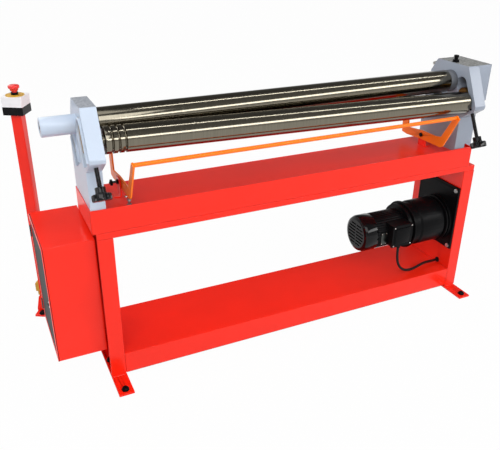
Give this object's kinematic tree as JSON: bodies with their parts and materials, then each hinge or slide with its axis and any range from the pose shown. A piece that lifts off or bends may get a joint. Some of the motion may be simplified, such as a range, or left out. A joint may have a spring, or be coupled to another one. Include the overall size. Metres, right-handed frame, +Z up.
{
  "type": "slip roll machine",
  "caption": "Powered slip roll machine: steel rolls between grey cast end frames on a red sheet stand, with a trip bar, gear motor, control cabinet and separate emergency-stop pedestal.",
  "frame": {"origin": "on the floor, at the middle of the whole part seen from above", "axes": "+X along the rolls from the cabinet end to the drive end, +Y from the trip bar at the front to the back, +Z up"},
  "size_m": [1.754, 0.8299, 1.016],
  "materials": {
    "frame_paint": "smooth blue-grey machine enamel",
    "stand_paint": "gloss red machine enamel",
    "door_paint": "gloss dark grey enamel",
    "bar_paint": "gloss orange paint",
    "roll_steel": "ground and lightly polished roll steel",
    "bright_steel": "bright turned steel",
    "plain_steel": "plain machined steel",
    "bronze": "machined bronze",
    "black_enamel": "gloss black enamel",
    "black_plastic": "black moulded plastic",
    "black_rubber": "matt black rubber",
    "white_plastic": "off-white moulded plastic",
    "yellow_plastic": "yellow plastic",
    "red_plastic": "gloss red plastic",
    "grey_plastic": "grey moulded plastic"
  },
  "bodies": {
    "machine": {"bed_tray": "stand_paint", "cabinet_shell": "stand_paint", "cable_gland": "black_plastic", "cable_grommet": "black_rubber", "drive_chain": "plain_steel", "end_frame_left": "frame_paint", "end_frame_right": "frame_paint", "estop_base": "black_plastic", "estop_collar": "black_plastic", "estop_lid": "white_plastic", "estop_plate": "yellow_plastic", "foot_bolts": "black_enamel", "gear_housing": "frame_paint", "gear_housing_cover": "frame_paint", "gearbox": "black_enamel", "leg_cover": "stand_paint", "lock_screw": "black_enamel", "motor_body": "black_enamel", "motor_cable": "black_rubber", "motor_cowl": "black_enamel", "motor_plate": "black_enamel", "motor_plate_bolts": "bright_steel", "mounting_plate": "plain_steel", "pedestal_bolt": "black_enamel", "pedestal_foot": "stand_paint", "pedestal_plug": "grey_plastic", "pedestal_post": "stand_paint", "stand_feet": "stand_paint", "stand_leg_left": "stand_paint", "stand_leg_right": "stand_paint", "stand_shelf": "stand_paint", "stand_top": "stand_paint", "switchgear": "black_plastic", "terminal_box": "black_enamel", "terminal_lid": "black_enamel", "trip_brackets": "stand_paint", "trip_pins": "black_enamel", "trip_stop": "bright_steel", "upper_bearing": "frame_paint"},
    "front_carriage": {"blocks_front": "plain_steel", "bushes_front": "bronze"},
    "front_roll": {"roll_front": "roll_steel"},
    "front_screw_left": {"screw_front_left": "bright_steel", "knob_front_left": "black_plastic"},
    "front_screw_right": {"screw_front_right": "bright_steel", "knob_front_right": "black_plastic"},
    "rear_carriage": {"blocks_rear": "plain_steel", "bushes_rear": "bronze"},
    "rear_roll": {"roll_rear": "roll_steel"},
    "rear_screw_left": {"screw_rear_left": "bright_steel"},
    "rear_screw_right": {"screw_rear_right": "bright_steel"},
    "upper_roll": {"roll_upper": "roll_steel", "sprocket_upper": "plain_steel"},
    "release_sleeve": {"release_sleeve": "frame_paint"},
    "output_shaft": {"sprocket_lower": "plain_steel"},
    "fan": {"motor_fan": "black_plastic"},
    "trip_frame": {"trip_arms": "bar_paint", "trip_rods": "bar_paint"},
    "cabinet_door": {"cabinet_door": "door_paint"},
    "estop_button": {"estop_button": "red_plastic"}
  },
  "joints": [
    {"name": "front_carriage_slide", "type": "slide", "parent": "machine", "child": "front_carriage", "axis": [0, 0.4695, 0.8829], "range_m": [-0.009, 0.0015]},
    {"name": "front_roll_turn", "type": "hinge", "parent": "front_carriage", "child": "front_roll", "pos_m": [-0.668, -0.2887, 0.88519], "axis": [0.9997, -0.0107, -0.0201], "continuous": true},
    {"name": "front_screw_left_turn", "type": "hinge", "parent": "front_carriage", "child": "front_screw_left", "pos_m": [-0.668, -0.34832, 0.77306], "axis": [0, 0.4695, 0.8829], "range_deg": [-1620, 270]},
    {"name": "front_screw_right_turn", "type": "hinge", "parent": "front_carriage", "child": "front_screw_right", "pos_m": [0.781, -0.36381, 0.74392], "axis": [0, 0.4695, 0.8829], "range_deg": [-1620, 270]},
    {"name": "rear_carriage_slide", "type": "slide", "parent": "machine", "child": "rear_carriage", "axis": [0, 0.4695, 0.8829], "range_m": [-0.008, 0.008]},
    {"name": "rear_roll_turn", "type": "hinge", "parent": "rear_carriage", "child": "rear_roll", "pos_m": [-0.668, -0.14841, 0.84231], "axis": [0.9997, -0.0107, -0.0201], "continuous": true},
    {"name": "rear_screw_left_turn", "type": "hinge", "parent": "rear_carriage", "child": "rear_screw_left", "pos_m": [-0.668, -0.11644, 0.90244], "axis": [0, 0.4695, 0.8829], "range_deg": [-1440, 1440]},
    {"name": "rear_screw_right_turn", "type": "hinge", "parent": "rear_carriage", "child": "rear_screw_right", "pos_m": [0.781, -0.10047, 0.93246], "axis": [0, 0.4695, 0.8829], "range_deg": [-1440, 1440]},
    {"name": "upper_roll_turn", "type": "hinge", "parent": "machine", "child": "upper_roll", "pos_m": [-0.6845, -0.2089, 0.921], "axis": [1, 0, 0], "continuous": true},
    {"name": "release_sleeve_pull", "type": "slide", "parent": "machine", "child": "release_sleeve", "axis": [-1, 0, 0], "range_m": [0, 0.03]},
    {"name": "output_shaft_turn", "type": "hinge", "parent": "machine", "child": "output_shaft", "pos_m": [0.8555, -0.1819, 0.308], "axis": [1, 0, 0], "continuous": true},
    {"name": "fan_turn", "type": "hinge", "parent": "machine", "child": "fan", "pos_m": [0.4655, -0.1819, 0.308], "axis": [1, 0, 0], "continuous": true},
    {"name": "trip_frame_rock", "type": "hinge", "parent": "machine", "child": "trip_frame", "pos_m": [-0.5665, -0.1759, 0.7], "axis": [1, 0, 0], "range_deg": [-1.2, 2.2], "stiffness_Nm_per_rad": 60, "springref_deg": -1.17},
    {"name": "cabinet_door_swing", "type": "hinge", "parent": "machine", "child": "cabinet_door", "pos_m": [-0.8505, 0.0326, 0.33], "axis": [0, 0, -1], "range_deg": [0, 100]},
    {"name": "estop_button_push", "type": "slide", "parent": "machine", "child": "estop_button", "axis": [0, 0, -1], "range_m": [0, 0.004]}
  ],
  "couplings": [
    {"joint": "front_screw_left_turn", "follows": "front_carriage_slide", "rad_per_m": 3141.6},
    {"joint": "front_screw_right_turn", "follows": "front_carriage_slide", "rad_per_m": 3141.6},
    {"joint": "rear_screw_left_turn", "follows": "rear_carriage_slide", "rad_per_m": 3141.6},
    {"joint": "rear_screw_right_turn", "follows": "rear_carriage_slide", "rad_per_m": 3141.6},
    {"joint": "output_shaft_turn", "follows": "upper_roll_turn", "ratio": 1.1053},
    {"joint": "fan_turn", "follows": "upper_roll_turn", "ratio": 55.263}
  ]
}
